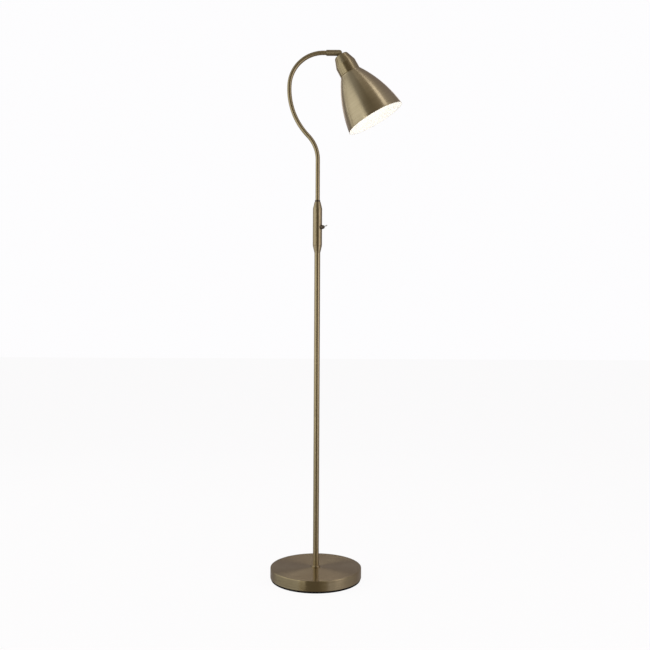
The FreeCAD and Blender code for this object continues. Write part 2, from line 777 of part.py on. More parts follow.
def shade():
    """The spun shade: a flat top clamped to the lampholder, and one long curve to the rim."""
    return turned("shade", (
        ("holder_radius + 0.3", "seam"),
        ("holder_radius + 0.3", "seam + neck_skin"),
        ("shade_top - 1.2", "seam + neck_skin"),
        ("shade_top - 0.83 * neck_skin", "seam + 1 + 0.56 * neck_skin", "ccw", "1.2"),
        ("rim_radius - neck_skin", "rim", "ccw", "shade_bow - neck_skin"),
        ("rim_radius", "rim", "cw", "neck_skin / 2 + 0.02"),
        ("shade_top", "seam + 1", "cw", "shade_bow"),
        ("shade_top - 1", "seam", "cw", "1.02"),
    ), HEAD)


def bulb_cap():
    """The bulb's screw cap, with rounded rings for its thread."""
    pitch = 3.6
    turns = 5
    root = "cap_radius - 0.9"
    first = "holder_floor + 11.5"
    crests = []
    for turn in range(turns):
        crests.append(("cap_radius", f"{first} + {pitch * (turn + 0.5)}", "ccw", "2.4"))
        crests.append((root, f"{first} + {pitch * (turn + 1)}", "ccw", "2.4"))
    return turned("bulb_cap", (
        ("0", "holder_floor + 4.4"),
        ("4", "holder_floor + 4.8"),
        ("5", "holder_floor + 6.5"),
        ("cap_radius - 2.5", "holder_floor + 9"),
        (root, first),
        *crests,
        (root, f"{first} + {pitch * turns + 2}"),
        ("0", f"{first} + {pitch * turns + 2}"),
    ), HEAD)


def bulb_glass():
    """The hollow glass: a short neck, a flare and a round globe."""
    base = "holder_floor + 31.6"
    inner = "(globe_radius - glass)"
    outer_join = ("globe_radius * sin(globe_spread)", "globe_centre - globe_radius * cos(globe_spread)")
    inner_join = (f"{inner} * sin(globe_spread)", f"globe_centre - {inner} * cos(globe_spread)")
    return turned("bulb_glass", (
        ("cap_radius - 1.2", base),
        ("cap_radius + 0.3", f"{base} + 6"),
        (*outer_join, "cw", "flare_bend"),
        ("0", "globe_centre + globe_radius", "ccw", "globe_radius"),
        ("0", f"globe_centre + {inner}"),
        (*inner_join, "cw", inner),
        ("cap_radius + 0.3 - glass", f"{base} + 6", "ccw", "flare_bend + glass"),
        ("cap_radius - 1.2 - glass", base),
    ), HEAD)


# ---------------------------------------------------------------- assembly

def build():
    """Make every sub-part, from the floor up."""
    pieces = [base_cover(), base_weight(), base_plate(), base_pad(), cable_bush(), pole_collar()]
    pieces += [*foot_fasteners(), pole_foot()]
    pieces += [tube("lower_pole", "pole_bore", "pole_radius", "base_height + collar_seat", "joiner_low")]
    pieces += [pole_joiner(), tube("upper_pole", "pole_bore", "pole_radius", "joiner_high", "sleeve_low")]
    pieces += [sleeve_cone(), switch_sleeve()]
    pieces += [switch_body(), switch_terminals(), switch_bushing(), switch_nut(), toggle_lever()]
    pieces += [swivel_bush(), swivel_nut(), arm_stop(), *arm_fittings(), arm_tube(), arm_plug()]
    pieces += [knuckle_clip(), knuckle_barrel(), tilt_screw(), tilt_washers(), tongue()]
    pieces += [hex_ring("neck_nut", "14", "stud_radius + thread_touch", "neck_top + neck_skin", "4", HEAD)]
    pieces += [neck_cap(), lampholder(), *holder_metalwork(), shade_ring(), shade()]
    pieces += [bulb_cap(), bulb_glass()]
    for piece in pieces:
        node(piece)


def check():
    """Stop if anything in the document failed, or a sub-part is empty or broken."""
    for item in doc.Objects:
        if "Invalid" in item.State or "Error" in item.State:
            raise RuntimeError(f"{item.Name} failed: {item.State}")
    for item in nodes:
        if item.Shape.isNull() or not item.Shape.isValid() or item.Shape.Volume <= 0:
            raise RuntimeError(f"{item.Label} has no sound shape")


def export():
    """Write a STEP file for every sub-part and print its size."""
    os.makedirs("parts", exist_ok=True)
    for item in nodes:
        item.Shape.exportStep(f"parts/{item.Label}.step")
        box = item.Shape.BoundBox
        spans = ((box.XMin, box.XMax), (box.YMin, box.YMax), (box.ZMin, box.ZMax))
        extent = "  ".join(f"{low:7.1f} {high:7.1f}" for low, high in spans)
        print(f"{item.Label:18s} {item.Shape.Volume:12.1f} mm3  {len(item.Shape.Solids)} solid(s)  {extent}")


build()
doc.recompute()
check()
export()
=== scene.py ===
import json
import math

import bmesh
import bpy
from mathutils import Matrix, Vector


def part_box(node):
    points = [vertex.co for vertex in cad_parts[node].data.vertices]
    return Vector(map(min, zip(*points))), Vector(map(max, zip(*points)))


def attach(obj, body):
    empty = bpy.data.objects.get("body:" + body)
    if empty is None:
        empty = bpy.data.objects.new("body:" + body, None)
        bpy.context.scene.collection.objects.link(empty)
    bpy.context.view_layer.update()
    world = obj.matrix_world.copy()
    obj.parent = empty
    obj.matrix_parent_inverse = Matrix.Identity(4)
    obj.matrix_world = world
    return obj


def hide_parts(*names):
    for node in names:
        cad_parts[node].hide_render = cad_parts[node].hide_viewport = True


# Pharmacy floor lamp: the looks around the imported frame. Outlines are in millimetres in each piece's
# own frame, whose +Z is the axis that the piece is turned about. Meshes are in metres.
MM = 0.001
SEGMENTS = 160
ARC_STEP = math.radians(7)
SHARP = math.radians(32)
ON_AXIS = 1e-4   # a smaller radius than this is a point on the axis
FLAT_RADIUS, FLAT_STEP = 100, 6   # arcs over this radius get a point at least every so many millimetres

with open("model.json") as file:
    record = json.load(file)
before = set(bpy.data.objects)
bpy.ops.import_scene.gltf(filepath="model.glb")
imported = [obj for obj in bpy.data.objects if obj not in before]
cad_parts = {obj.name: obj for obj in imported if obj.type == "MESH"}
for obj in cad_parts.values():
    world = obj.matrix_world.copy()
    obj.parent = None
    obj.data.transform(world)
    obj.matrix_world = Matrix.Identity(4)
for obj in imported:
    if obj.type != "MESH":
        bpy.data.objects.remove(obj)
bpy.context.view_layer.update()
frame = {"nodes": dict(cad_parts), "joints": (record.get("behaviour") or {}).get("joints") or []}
nodes = frame["nodes"]
joints = {joint["name"]: joint for joint in frame["joints"]}


# ---------------------------------------------------------------- places, all from the frame

def box(node):
    """Return a CAD node's lowest and highest corners in millimetres."""
    low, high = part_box(node)
    return low / MM, high / MM


UPRIGHT = Matrix.Identity(4)
PIVOT = Vector(joints["head_tilt"]["pos_m"])
HEAD_LEAN = math.radians(-joints["head_tilt"]["range_deg"][0])
HEAD = Matrix.Translation(PIVOT) @ Matrix.Rotation(math.pi - HEAD_LEAN, 4, "Y")
KNUCKLE = Matrix.Translation((0, 0, PIVOT.z)) @ Matrix.Rotation(math.pi / 2, 4, "Y")
TILT = Matrix.Translation(PIVOT) @ Matrix.Rotation(-math.pi / 2, 4, "X")
LEVER_AXIS = Vector(joints["switch_flip"]["axis"])
LEVER_PIVOT = Vector(joints["switch_flip"]["pos_m"])
LEVER_ANGLE = math.radians(joints["switch_flip"]["range_deg"][1] / 2)
SWITCH_AZIMUTH = math.atan2(LEVER_AXIS.x, LEVER_AXIS.y)
SWITCH = (
    Matrix.Translation((0, 0, LEVER_PIVOT.z))
    @ Matrix.Rotation(-SWITCH_AZIMUTH, 4, "Z")
    @ Matrix.Rotation(math.pi / 2, 4, "Y")
)
LEVER = (
    Matrix.Translation(LEVER_PIVOT)
    @ Matrix.Rotation(-SWITCH_AZIMUTH, 4, "Z")
    @ Matrix.Rotation(math.pi / 2 - LEVER_ANGLE, 4, "Y")
)
BUSH_LOW, BUSH_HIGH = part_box("cable_bush")
INLET = Matrix.Translation((0, 0, (BUSH_LOW.z + BUSH_HIGH.z) / 2)) @ Matrix.Rotation(-math.pi / 2, 4, "X")
ARM_RADIUS = 6.0


# ---------------------------------------------------------------- outlines

def arc(start, end, radius):
    """Return points after start up to end on the short arc, counter-clockwise for a positive radius."""
    start, end = Vector(start), Vector(end)
    chord = end - start
    left = Vector((-chord.y, chord.x)).normalized()
    rise = math.sqrt(max(radius * radius - chord.length_squared / 4, 0))
    centre = (start + end) / 2 + left * math.copysign(rise, radius)
    first = math.atan2(start.y - centre.y, start.x - centre.x)
    sweep = 2 * math.asin(min(chord.length / 2 / abs(radius), 1)) * math.copysign(1, radius)
    count = max(2, math.ceil(abs(sweep) / ARC_STEP))
    if abs(radius) > FLAT_RADIUS:
        count = max(count, math.ceil(chord.length / FLAT_STEP))
    size = abs(radius)
    turns = [first + sweep * step / count for step in range(1, count + 1)]
    return [(centre.x + size * math.cos(turn), centre.y + size * math.sin(turn)) for turn in turns]


def rounded(corners):
    """Return the closed outline through corners (x, y) or (x, y, radius), with each radius rounded off."""
    points = []
    count = len(corners)
    for index, corner in enumerate(corners):
        here = Vector(corner[:2])
        if len(corner) == 2 or corner[2] == 0:
            points.append(tuple(here))
            continue
        before = (Vector(corners[index - 1][:2]) - here).normalized()
        after = (Vector(corners[(index + 1) % count][:2]) - here).normalized()
        half = before.angle(after) / 2
        reach = corner[2] / math.tan(half)
        side = -1 if before.x * after.y - before.y * after.x > 0 else 1
        first, last = here + before * reach, here + after * reach
        points.append(tuple(first))
        points += arc(first, last, side * corner[2])
    return points


def ring_outline(inner, outer, low, high, edge=0.3):
    """Return the outline of a plain ring with broken outer edges."""
    return rounded(((inner, low), (outer, low, edge), (outer, high, edge), (inner, high)))


# ---------------------------------------------------------------- meshes

def to_mesh(made, name):
    """Turn a finished bmesh into a mesh."""
    mesh = bpy.data.meshes.new(name)
    made.to_mesh(mesh)
    made.free()
    return mesh


def linked(name, data):
    """Return a new object in the scene for a mesh, light or camera."""
    item = bpy.data.objects.new(name, data)
    bpy.context.scene.collection.objects.link(item)
    return item


def finished(name, mesh, place, body, material, replaced=()):
    """Turn a mesh into a shaded piece that rides on a body."""
    mesh.shade_smooth()
    mesh.set_sharp_from_angle(angle=SHARP)
    piece = linked(name, mesh)
    piece.matrix_world = place
    piece.data.materials.append(material)
    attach(piece, body)
    if replaced:
        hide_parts(*replaced)
    return piece


def lathe_mesh(name, outline, closed=True, segments=SEGMENTS, shape=None):
    """Spin an outline of (radius, height) about +Z. U runs once round, V is the length along the outline."""
    made = bmesh.new()
    uv = made.loops.layers.uv.new("UVMap")
    rings = []
    for radius, height in outline:
        if radius < ON_AXIS:
            rings.append([made.verts.new((0, 0, height * MM))] * segments)
            continue
        ring = []
        for step in range(segments):
            turn = 2 * math.pi * step / segments
            reach = radius + (shape(radius, height, turn) if shape else 0)
            x, y = reach * math.cos(turn), reach * math.sin(turn)
            ring.append(made.verts.new((x * MM, y * MM, height * MM)))
        rings.append(ring)
    lengths = [0.0]
    for index in range(len(outline)):
        step = Vector(outline[(index + 1) % len(outline)]) - Vector(outline[index])
        lengths.append(lengths[-1] + step.length * MM)
    spans = len(outline) if closed else len(outline) - 1
    for index in range(spans):
        low, high = rings[index], rings[(index + 1) % len(outline)]
        if low[0] is low[1] and high[0] is high[1]:
            continue
        for step in range(segments):
            after = (step + 1) % segments
            corners = [
                (low[step], step, index), (low[after], step + 1, index),
                (high[after], step + 1, index + 1), (high[step], step, index + 1),
            ]
            if low[0] is low[1]:
                corners = [corners[0], corners[2], corners[3]]
            elif high[0] is high[1]:
                corners = corners[:3]
            face = made.faces.new([corner[0] for corner in corners])
            for loop, corner in zip(face.loops, corners):
                loop[uv].uv = (corner[1] / segments, lengths[corner[2]])
    bmesh.ops.recalc_face_normals(made, faces=made.faces)
    return to_mesh(made, name)


def lathe(name, outline, place, body, slot, material, replaced=(), **options):
    """Make a turned piece."""
    return finished(name, lathe_mesh(name, outline, **options), place, body, material, replaced)


def tube_mesh(name, route, radius, segments=64):
    """Sweep a closed round bar along a route in the XZ plane. U runs round, V along."""
    made = bmesh.new()
    uv = made.loops.layers.uv.new("UVMap")
    rings = []
    lengths = [0.0]
    for index, point in enumerate(route):
        ahead = route[min(index + 1, len(route) - 1)]
        behind = route[max(index - 1, 0)]
        along = (Vector(ahead) - Vector(behind)).normalized()
        across = Vector((along.z, 0, -along.x))
        ring = []
        for step in range(segments):
            turn = 2 * math.pi * step / segments
            out = across * math.cos(turn) + Vector((0, 1, 0)) * math.sin(turn)
            ring.append(made.verts.new((Vector(point) + out * radius) * MM))
        rings.append(ring)
        if index:
            lengths.append(lengths[-1] + (Vector(point) - Vector(route[index - 1])).length * MM)
    for index in range(len(route) - 1):
        for step in range(segments):
            after = (step + 1) % segments
            face = made.faces.new(
                (rings[index][step], rings[index][after], rings[index + 1][after], rings[index + 1][step])
            )
            around = (step, step + 1, step + 1, step)
            along_route = (index, index, index + 1, index + 1)
            for loop, turn, place in zip(face.loops, around, along_route):
                loop[uv].uv = (turn / segments, lengths[place])
    made.faces.new(rings[0])
    made.faces.new(rings[-1])
    bmesh.ops.recalc_face_normals(made, faces=made.faces)
    return to_mesh(made, name)


def carve(mesh, *cutters):
    """Take closed cutter meshes away from a mesh, all in the same frame."""
    target = linked("carved", mesh)
    tools = []
    for cutter in cutters:
        tool = linked("cutter", cutter)
        tools.append(tool)
        cut = target.modifiers.new("cut", "BOOLEAN")
        cut.operation = "DIFFERENCE"
        cut.solver = "EXACT"
        cut.object = tool
    bpy.context.view_layer.update()
    evaluated = target.evaluated_get(bpy.context.evaluated_depsgraph_get())
    result = bpy.data.meshes.new_from_object(evaluated)
    result.name = mesh.name
    for item in (target, *tools):
        bpy.data.objects.remove(item)
    result.materials.clear()
    return result


def block(low, high):
    """Return a box mesh for cutting, given by its corners in millimetres."""
    made = bmesh.new()
    bmesh.ops.create_cube(made, size=1)
    low, high = Vector(low) * MM, Vector(high) * MM
    for vertex in made.verts:
        vertex.co = (low + high) / 2 + Vector((high - low)[axis] * vertex.co[axis] for axis in range(3))
    return to_mesh(made, "block")


def drill(radius, low, high, place=None, segments=64):
    """Return a round bar mesh for cutting."""
    mesh = lathe_mesh("drill", ((0, low), (radius, low), (radius, high), (0, high)), segments=segments)
    if place:
        mesh.transform(place)
    return mesh


# ---------------------------------------------------------------- materials

STREAK_SHARE = 0.65   # of a brushed metal's tone, the rest is patina
QUARTER_TURN = 0.25
BULB_GLOW = 2.75
GLOW_HEIGHTS = 0.070, 0.125


class Nodes:
    """A node tree under construction."""

    def __init__(self, tree):
        self.tree = tree

    def node(self, kind, **settings):
        made = self.tree.nodes.new(kind)
        for name, setting in settings.items():
            setattr(made, name, setting)
        return made

    def link(self, source, target):
        self.tree.links.new(source, target)

    def maths(self, operation, first, second=None):
        made = self.node("ShaderNodeMath", operation=operation)
        for index, operand in enumerate((first, second)):
            if isinstance(operand, (int, float)):
                made.inputs[index].default_value = operand
            elif operand is not None:
                self.link(operand, made.inputs[index])
        return made.outputs[0]

    def split(self, vector):
        """Return a vector's X, Y and Z."""
        made = self.node("ShaderNodeSeparateXYZ")
        self.link(vector, made.inputs[0])
        return made.outputs

    def ramp(self, factor, stops):
        made = self.node("ShaderNodeValToRGB")
        elements = made.color_ramp.elements
        for index, (position, colour) in enumerate(stops):
            stop = elements[index] if index < 2 else elements.new(position)
            stop.position = position
            stop.color = (*colour, 1)
        self.link(factor, made.inputs[0])
        return made.outputs[0]

    def spread(self, factor, low, high, start=0.0, end=1.0):
        """Spread a factor's start to end over low to high."""
        made = self.node("ShaderNodeMapRange")
        limits = {"From Min": start, "From Max": end, "To Min": low, "To Max": high}
        for name, limit in limits.items():
            made.inputs[name].default_value = limit
        self.link(factor, made.inputs["Value"])
        return made.outputs[0]


class Shader(Nodes):
    """A node material under construction."""

    def __init__(self, name):
        self.material = bpy.data.materials.new(name)
        self.material.use_nodes = True
        super().__init__(self.material.node_tree)
        self.surface = self.tree.nodes["Principled BSDF"]

    def set(self, **values):
        for name, setting in values.items():
            self.surface.inputs[name.replace("_", " ").title().replace("Ior", "IOR")].default_value = setting

    def feed(self, source, name):
        """Link a source to one of the surface's own sockets."""
        self.link(source, self.surface.inputs[name])

    def noise(self, vector, scale, detail=4.0, roughness=0.55):
        made = self.node("ShaderNodeTexNoise")
        for name, setting in (("Scale", scale), ("Detail", detail), ("Roughness", roughness)):
            made.inputs[name].default_value = setting
        self.link(vector, made.inputs["Vector"])
        return made.outputs[0]

    def bump(self, height, distance, strength):
        made = self.node("ShaderNodeBump")
        made.inputs["Strength"].default_value = strength
        made.inputs["Distance"].default_value = distance
        self.link(height, made.inputs["Height"])
        self.feed(made.outputs[0], "Normal")

    def position(self):
        return self.node("ShaderNodeTexCoord").outputs["Object"]

    def grooves(self, around, along):
        """Return coordinates that stretch a pattern round a turned piece, with no seam."""
        across, length, _ = self.split(self.node("ShaderNodeUVMap", uv_map="UVMap").outputs[0])
        turn = self.maths("MULTIPLY", across, 2 * math.pi)
        joined = self.node("ShaderNodeCombineXYZ")
        for index, operation in enumerate(("COSINE", "SINE")):
            self.link(self.maths("MULTIPLY", self.maths(operation, turn), around), joined.inputs[index])
        self.link(self.maths("MULTIPLY", length, along), joined.inputs[2])
        return joined.outputs[0]


def brushed(name, dark, light, roughness, anisotropy=0.75, around=1.2, along=420.0, wander=0.06):
    """Brushed metal: fine grooves round the piece, a soft patina, and highlights stretched across them."""
    shader = Shader(name)
    streaks = shader.noise(shader.grooves(around, along), scale=1.0, detail=5.0, roughness=0.62)
    cloud = shader.noise(shader.position(), scale=22.0, detail=3.0)
    streak_part = shader.maths("MULTIPLY", streaks, STREAK_SHARE)
    cloud_part = shader.maths("MULTIPLY", cloud, 1 - STREAK_SHARE)
    tone = shader.maths("ADD", streak_part, cloud_part)
    shader.feed(shader.ramp(tone, ((0.32, dark), (0.68, light))), "Base Color")
    shader.feed(shader.spread(streaks, roughness - wander, roughness + wander), "Roughness")
    shader.set(metallic=1.0, anisotropic=anisotropy, anisotropic_rotation=QUARTER_TURN)
    tangent = shader.node("ShaderNodeTangent", direction_type="UV_MAP", uv_map="UVMap")
    shader.feed(tangent.outputs[0], "Tangent")
    shader.bump(streaks, distance=0.03 * MM, strength=0.25)
    return shader.material


def plain_metal(name, dark, light, roughness, scale=160.0, depth=0.03 * MM):
    """Metal with a fine grain and a little tarnish, for hidden hardware."""
    shader = Shader(name)
    grain = shader.noise(shader.position(), scale * 8, detail=3.0)
    tarnish = shader.noise(shader.position(), scale)
    shader.feed(shader.ramp(tarnish, ((0.35, dark), (0.65, light))), "Base Color")
    shader.feed(shader.spread(grain, roughness - 0.07, roughness + 0.07), "Roughness")
    shader.set(metallic=1.0)
    shader.bump(grain, depth, strength=0.5)
    return shader.material


def moulded(name, dark, light, roughness, scale=400.0, depth=0.05 * MM, coat=0.0, gloss=0.5):
    """Moulded or foamed material with a fine surface grain."""
    shader = Shader(name)
    grain = shader.noise(shader.position(), scale, roughness=0.6)
    cloud = shader.noise(shader.position(), scale / 12, detail=2.0)
    shader.feed(shader.ramp(cloud, ((0.3, dark), (0.7, light))), "Base Color")
    shader.feed(shader.spread(grain, roughness - 0.05, roughness + 0.08), "Roughness")
    shader.set(coat_weight=coat, specular_ior_level=gloss)
    shader.bump(grain, depth, strength=0.6)
    return shader.material


def enamel():
    """The white coat inside the shade, with a slight orange-peel."""
    shader = Shader("white_enamel")
    peel = shader.noise(shader.position(), scale=260.0, detail=2.0)
    cloud = shader.noise(shader.position(), scale=14.0, detail=2.0)
    dark, light = (0.90, 0.885, 0.85), (0.93, 0.92, 0.895)
    shader.feed(shader.ramp(cloud, ((0.3, dark), (0.7, light))), "Base Color")
    shader.feed(shader.spread(peel, 0.32, 0.42), "Roughness")
    shader.bump(peel, distance=0.06 * MM, strength=0.4)
    return shader.material


def lit_glass():
    """Opal glass, alight: brightest over the filament and dimmer towards the screw cap."""
    shader = Shader("opal_glass_lit")
    height = shader.split(shader.position())[2]
    dim_below, full_above = GLOW_HEIGHTS
    strength = shader.spread(height, BULB_GLOW * 0.35, BULB_GLOW, dim_below, full_above)
    shader.feed(strength, "Emission Strength")
    shader.set(base_color=(0.95, 0.93, 0.88, 1), roughness=0.25, emission_color=(1.0, 0.945, 0.82, 1))
    return shader.material


def grey(level):
    """Return a neutral colour."""
    return level, level, level


# Colours and grooves by how a piece is made: turned, drawn into tube, or spun from sheet. The spun shade is
# the same brass, but its colours are painted lighter: painted light that brightens the shade's reflections.
turned = {"dark": (0.36, 0.285, 0.165), "light": (0.48, 0.40, 0.25)}
drawn = {"dark": (0.41, 0.335, 0.20), "light": (0.45, 0.37, 0.225), "along": 900.0, "wander": 0.03}
# Painted light: the shade's colours are lighter than the turned brass, a painted brightening of the shade's
# reflections.
spun_painted_lighter = {"dark": (0.45, 0.37, 0.235), "light": (0.58, 0.49, 0.325), "wander": 0.03}
bare = {"dark": (0.60, 0.42, 0.16), "light": (0.78, 0.60, 0.28)}
brass = brushed("brushed_antique_brass", **turned, roughness=0.30, anisotropy=0.9)
disc_grooves = {"around": 2.0, "along": 700.0, "wander": 0.03}
disc_brass = brushed("brushed_antique_brass_disc", **turned, **disc_grooves, roughness=0.25, anisotropy=1.0)
knuckle_brass = brushed("brushed_antique_brass_knuckle", **drawn, roughness=0.50, anisotropy=0.95)
# The shade's material carries the brass painted lighter, as painted light on the shade.
shade_brass_painted_lighter = brushed("brushed_antique_brass_shade_painted_lighter", **spun_painted_lighter, roughness=0.29, anisotropy=0.92)
tube_brass = brushed("brushed_antique_brass_tube", **drawn, roughness=0.28, anisotropy=0.9)
bronze = brushed("dark_bronze", (0.10, 0.075, 0.05), (0.20, 0.16, 0.12), 0.36, anisotropy=0.4)
nickel = brushed("bright_nickel", (0.62, 0.61, 0.58), (0.80, 0.79, 0.77), 0.16, anisotropy=0.3)
shell_brass = brushed("bare_brass", **bare, roughness=0.25, anisotropy=0.3)
cap_metal = brushed("cap_aluminium", (0.60, 0.60, 0.61), (0.80, 0.80, 0.81), 0.28, anisotropy=0.3)
zinc = plain_metal("zinc_plate", (0.48, 0.48, 0.46), (0.66, 0.66, 0.63), 0.36)
iron = plain_metal("cast_iron", grey(0.05), grey(0.11), 0.72, scale=90.0, depth=0.3 * MM)
contact_brass = plain_metal("contact_brass", **bare, roughness=0.3)
foam = moulded("black_foam", grey(0.004), grey(0.010), 0.88, scale=900.0, depth=0.2 * MM, gloss=0.1)
plastic = moulded("black_plastic", grey(0.012), grey(0.022), 0.42)
nylon = moulded("natural_nylon", (0.70, 0.69, 0.64), (0.80, 0.79, 0.75), 0.45)
white_plastic = moulded("white_plastic", (0.78, 0.77, 0.73), (0.84, 0.83, 0.80), 0.3, coat=0.3)
white_coat = enamel()
glass = lit_glass()

CARRIED = {
    zinc: (
        "base_plate", "base_stud", "base_washer", "base_nut", "pole_foot", "swivel_nut", "arm_stop",
        "arm_plug", "knuckle_clip", "tongue", "neck_nut",
    ),
    iron: ("base_weight",),
    plastic: ("switch_body",),
    nylon: ("swivel_washer", "tilt_washers"),
    contact_brass: ("switch_terminals", "holder_contact"),
}
for material, names in CARRIED.items():
    for carried in names:
        nodes[carried].data.materials.clear()
        nodes[carried].data.materials.append(material)


# ---------------------------------------------------------------- foot

STUD = box("base_stud")[1].x + 0.1
SKIN = 1.2
PAD_GAP = 0.02
INLET_HOLE = 5.0
LEAD_BORE = 3.25


def foot():
    low, high = box("base_cover")
    radius, top = high.x, high.z
    cover = lathe_mesh("foot_cover", rounded((
        (STUD, top),
        (STUD, top - SKIN),
        (radius - SKIN, top - SKIN, 0.8),
        (radius - SKIN, low.z),
        (radius, low.z, 0.35),
        (radius, top, 2.0),
    )), segments=256)
    hole = drill(INLET_HOLE, radius - 12, radius + 6, INLET)
    finished("foot_cover", carve(cover, hole), UPRIGHT, "stand", disc_brass, ("base_cover",))

    low, high = box("base_pad")
    top = high.z - PAD_GAP
    pad = rounded(((0, low.z), (high.x, low.z, 0.8), (high.x, top, 0.3), (0, top)))
    lathe("foot_pad", pad, UPRIGHT, "stand", "black_foam", foam, ("base_pad",), segments=256)


def lead_bush():
    """The snap-in bush: a flange outside the cover's wall and a barb inside it."""
    outside = box("cable_bush")[1].y
    flange, groove, barb = LEAD_BORE + 3.05, LEAD_BORE + 1.65, LEAD_BORE + 2.1
    wall_outside, wall_inside, end = outside - 2.2, outside - 3.7, outside - 5.6
    bush = rounded((
        (LEAD_BORE, end),
        (barb, end, 0.5),
        (barb, wall_inside),
        (groove, wall_inside),
        (groove, wall_outside),
        (flange, wall_outside, 0.2),
        (flange, outside, 1.0),
        (LEAD_BORE, outside, 0.6),
    ))
    lathe("lead_bush", bush, INLET, "stand", "black_plastic", plastic, ("cable_bush",), segments=96)


# ---------------------------------------------------------------- pole and sleeve

TUBE_WALL = 1.0
LEAD_WAY = 4.5


def pole():
    low, high = box("pole_collar")
    recess, recess_floor = box("lower_pole")[1].x + 0.05, high.z - 2.0
    collar = rounded((
        (STUD, low.z),
        (high.x, low.z, 0.3),
        (high.x, high.z, 1.3),
        (recess, high.z),
        (recess, recess_floor),
        (STUD, recess_floor),
    ))
    lathe("pole_foot_collar", collar, UPRIGHT, "stand", "turned_brass", brass, ("pole_collar",))
    for section in ("lower_pole", "upper_pole"):
        low, high = box(section)
        tube = ring_outline(high.x - TUBE_WALL, high.x, low.z, high.z, 0.25)
        lathe(f"{section}_tube", subdivided(tube), UPRIGHT, "stand", "plated_steel", tube_brass, (section,))


def subdivided(outline, longest=20.0):
    """Split the outline's long edges, so that long tubes keep even faces."""
    points = []
    for index, here in enumerate(outline):
        here, after = Vector(here), Vector(outline[(index + 1) % len(outline)])
        count = max(1, math.ceil((after - here).length / longest))
        points += [tuple(here.lerp(after, step / count)) for step in range(count)]
    return points


def joint_band():
    low, high = box("pole_joiner")
    band_low, band_high = box("lower_pole")[1].z, box("upper_pole")[0].z
    spigot = box("pole_foot")[1].x
    band = rounded((
        (LEAD_WAY, low.z),
        (spigot, low.z, 0.5),
        (spigot, band_low),
        (high.x, band_low, 0.45),
        (high.x, band_high, 0.45),
        (spigot, band_high),
        (spigot, high.z, 0.5),
        (LEAD_WAY, high.z),
    ))
    lathe("pole_joint_band", subdivided(band), UPRIGHT, "stand", "turned_brass", brass, ("pole_joiner",))


def sleeve():
    low, high = box("sleeve_cone")
    shell_low, shell_high = box("switch_sleeve")
    radius, seam, top = shell_high.x, shell_low.z, shell_high.z
    pole_top, pole_radius = box("upper_pole")[1].z, box("upper_pole")[1].x
    pole_spigot, shell_spigot = 6.98, 11.48
    cone = rounded((
        (LEAD_WAY, low.z),
        (pole_spigot, low.z),
        (pole_spigot, pole_top),
        (pole_radius, pole_top, 0.2),
        (radius, seam, 0.8),
        (shell_spigot, seam),
        (shell_spigot, high.z),
        (LEAD_WAY, high.z),
    ))
    lathe("sleeve_lower_cone", cone, UPRIGHT, "stand", "turned_brass", brass, ("sleeve_cone",))

    inside, mouth, bush_seat, throat = 11.5, 8.5, 6.85, 8.78
    shoulder, seat_end = top - 18.0, top - 6.5
    shell = lathe_mesh("sleeve_shell", subdivided(rounded((
        (inside, seam),
        (radius, seam, 0.7),
        (radius, shoulder, 2.0),
        (mouth, top, 0.5),
        (bush_seat, top),
        (bush_seat, seat_end),
        (throat, seat_end),
        (inside, shoulder - 0.3),
    ))))
    hole = drill(3.6, radius - 6, radius + 4, SWITCH)
    finished("sleeve_shell", carve(shell, hole), UPRIGHT, "stand", brass, ("switch_sleeve",))


def swivel():
    """The bronze bush in the sleeve's top, and the collar that turns on it with the arm."""
    low, high = box("swivel_bush")
    top = box("switch_sleeve")[1].z
    bore, stem = ARM_RADIUS + 0.06, 6.82
    bush = rounded((
        (bore, low.z),
        (stem, low.z),
        (stem, top),
        (high.x, top),
        (high.x, high.z, 0.4),
        (bore, high.z),
    ))
    lathe("arm_bush", bush, UPRIGHT, "stand", "dark_bronze", bronze, ("swivel_bush",), segments=128)
    low, high = box("arm_shoulder")
    ring = rounded(((ARM_RADIUS, low.z), (high.x, low.z, 0.25), (high.x, high.z, 0.9), (ARM_RADIUS, high.z)))
    lathe("arm_collar", ring, UPRIGHT, "arm", "dark_bronze", bronze, ("arm_shoulder",), segments=128)


# ---------------------------------------------------------------- switch

NUT_THREAD, NUT_TOP = 3.52, 21.8
RIBS, RIB_DEPTH = 48, 0.16
RIBBED_RADIUS, RIBBED_LOW, RIBBED_HIGH = 5.9, 10.4, 13.8


def knurl(radius, height, turn):
    """Return the depth of the fine ribs round the nut's base."""
    if radius <= RIBBED_RADIUS or not RIBBED_LOW < height < RIBBED_HIGH:
        return 0
    return -RIB_DEPTH * (0.5 + 0.5 * math.cos(RIBS * turn))


def dress_nut():
    """The domed nut, its ribbed foot hollowed to the sleeve, and the threaded collar inside it."""
    nut = lathe_mesh("switch_dress_nut", rounded((
        (NUT_THREAD, 10.5),
        (6.3, 10.5),
        (6.3, 13.7, 0.3),
        (5.75, 14.1, 0.3),
        (5.6, 17.2, 3.0),
        (4.3, NUT_TOP, 0.6),
        (NUT_THREAD, NUT_TOP),
    )), segments=192, shape=knurl)
    seat = drill(box("switch_sleeve")[1].x + 0.02, -30, 30, SWITCH.inverted(), 192)
    finished("switch_dress_nut", carve(nut, seat), SWITCH, "stand", bronze, ("switch_nut",))

    inside, outside, start, end = 2.75, 3.5, 8.4, NUT_TOP - 0.4
    bushing = rounded(((inside, start), (outside, start), (outside, end, 0.3), (inside, end, 0.2)))
    lathe("switch_collar", bushing, SWITCH, "stand", "bright_chrome", nickel, ("switch_bushing",), segments=96)


